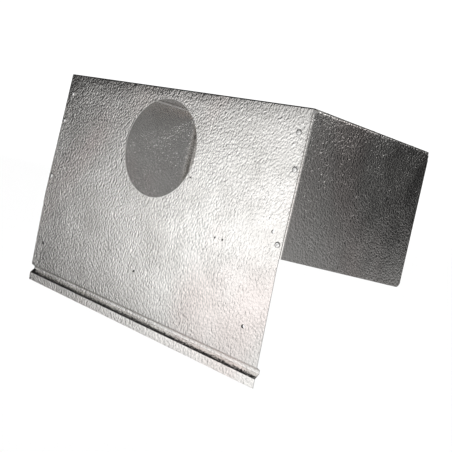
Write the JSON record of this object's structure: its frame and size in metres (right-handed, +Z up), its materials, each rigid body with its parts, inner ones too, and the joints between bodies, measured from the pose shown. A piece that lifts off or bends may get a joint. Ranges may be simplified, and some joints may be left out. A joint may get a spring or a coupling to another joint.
{
  "type": "grow lamp hood",
  "caption": "Air-cooled grow lamp hood of embossed sheet metal, with a round duct opening, riveted end panels, a lampholder and a tubular lamp.",
  "frame": {"origin": "centre of the top face, on its upper surface", "axes": "+Z up, -Y out of the front face with the duct opening, +X towards the end that carries the lampholder"},
  "size_m": [0.51, 0.3418, 0.3652],
  "materials": {
    "embossed_sheet": "stucco-embossed mill finish",
    "rivet": "plain",
    "bracket": "zinc plated",
    "screw": "zinc plated",
    "brass": "brass, slightly tarnished",
    "lamp_cap": "nickel plated",
    "ceramic": "glazed porcelain",
    "black_glass": "vitrite glass",
    "rubber": "matt",
    "alumina": "translucent white ceramic",
    "glass": "clear"
  },
  "bodies": {
    "root": {"hood_sheet": "embossed_sheet", "left_end_panel": "embossed_sheet", "right_end_panel": "embossed_sheet", "left_front_rivet_upper": "rivet", "left_front_rivet_middle": "rivet", "left_front_rivet_lower": "rivet", "left_top_rivet_front": "rivet", "left_top_rivet_centre": "rivet", "left_top_rivet_rear": "rivet", "right_front_rivet_upper": "rivet", "right_front_rivet_middle": "rivet", "right_front_rivet_lower": "rivet", "right_top_rivet_front": "rivet", "right_top_rivet_centre": "rivet", "right_top_rivet_rear": "rivet", "holder_bracket": "bracket", "bracket_screw_1": "screw", "bracket_screw_2": "screw", "bracket_nut_1": "screw", "bracket_nut_2": "screw", "holder_body": "ceramic", "holder_thread_shell": "brass", "holder_centre_contact": "brass", "holder_screw_1": "screw", "holder_screw_2": "screw", "lamp_cap": "lamp_cap", "cap_insulator": "black_glass", "cap_eyelet": "brass", "bulb_envelope": "glass", "bulb_stem": "glass", "arc_tube": "alumina", "arc_frame": "bracket", "cable_grommet": "rubber"}
  },
  "joints": []
}
